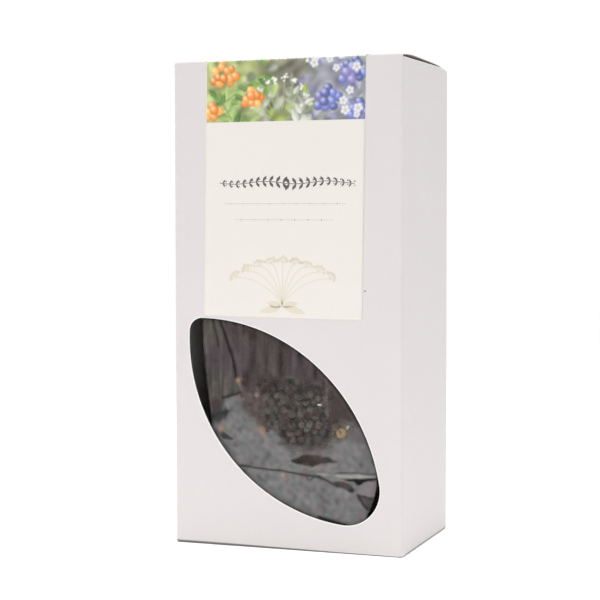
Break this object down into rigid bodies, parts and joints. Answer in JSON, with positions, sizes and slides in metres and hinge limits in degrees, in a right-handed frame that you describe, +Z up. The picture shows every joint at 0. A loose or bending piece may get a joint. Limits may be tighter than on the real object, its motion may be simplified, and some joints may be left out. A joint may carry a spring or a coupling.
{
  "type": "windowed folding carton of dried elderberries",
  "caption": "Tall tuck-top paperboard carton with a leaf-shaped window, a wrap-over paper label and a clear gusseted bag of dried elderberries inside.",
  "frame": {"origin": "centre of the carton's base, on the surface it stands on, midway between the outer faces of its front and back walls", "axes": "+Z up along the carton's height, the windowed front panel faces -Y, +X to the right of that front"},
  "size_m": [0.098, 0.0686, 0.2003],
  "materials": {
    "board": "uncoated matt white carton board",
    "label_paper": null,
    "clear_film": "clear glossy crinkled film",
    "berries": "dull wrinkled dried fruit skin, almost black with a purple tinge"
  },
  "bodies": {
    "carton": {"carton_body": "board", "label_front": "label_paper", "inner_bag": "clear_film", "dried_berries": "berries"},
    "lid": {"lid_panel": "board", "label_seal_tab": "label_paper"},
    "tuck": {"tuck_flap": "board"},
    "dust_left": {"dust_flap_left": "board"},
    "dust_right": {"dust_flap_right": "board"}
  },
  "joints": [
    {"name": "lid_hinge", "type": "hinge", "parent": "carton", "child": "lid", "pos_m": [0, 0.03375, 0.19755], "axis": [-1, 0, 0], "range_deg": [0, 180]},
    {"name": "tuck_fold", "type": "hinge", "parent": "lid", "child": "tuck", "pos_m": [0, -0.03295, 0.19755], "axis": [-1, 0, 0], "range_deg": [0, 72]},
    {"name": "dust_fold_left", "type": "hinge", "parent": "carton", "child": "dust_left", "pos_m": [-0.04875, 0, 0.19725], "axis": [0, -1, 0], "range_deg": [0, 90]},
    {"name": "dust_fold_right", "type": "hinge", "parent": "carton", "child": "dust_right", "pos_m": [0.04875, 0, 0.19725], "axis": [0, 1, 0], "range_deg": [0, 90]}
  ],
  "couplings": [
    {"joint": "tuck_fold", "follows": "lid_hinge", "ratio": 0.4},
    {"joint": "dust_fold_left", "follows": "lid_hinge", "ratio": 0.5},
    {"joint": "dust_fold_right", "follows": "lid_hinge", "ratio": 0.5}
  ]
}
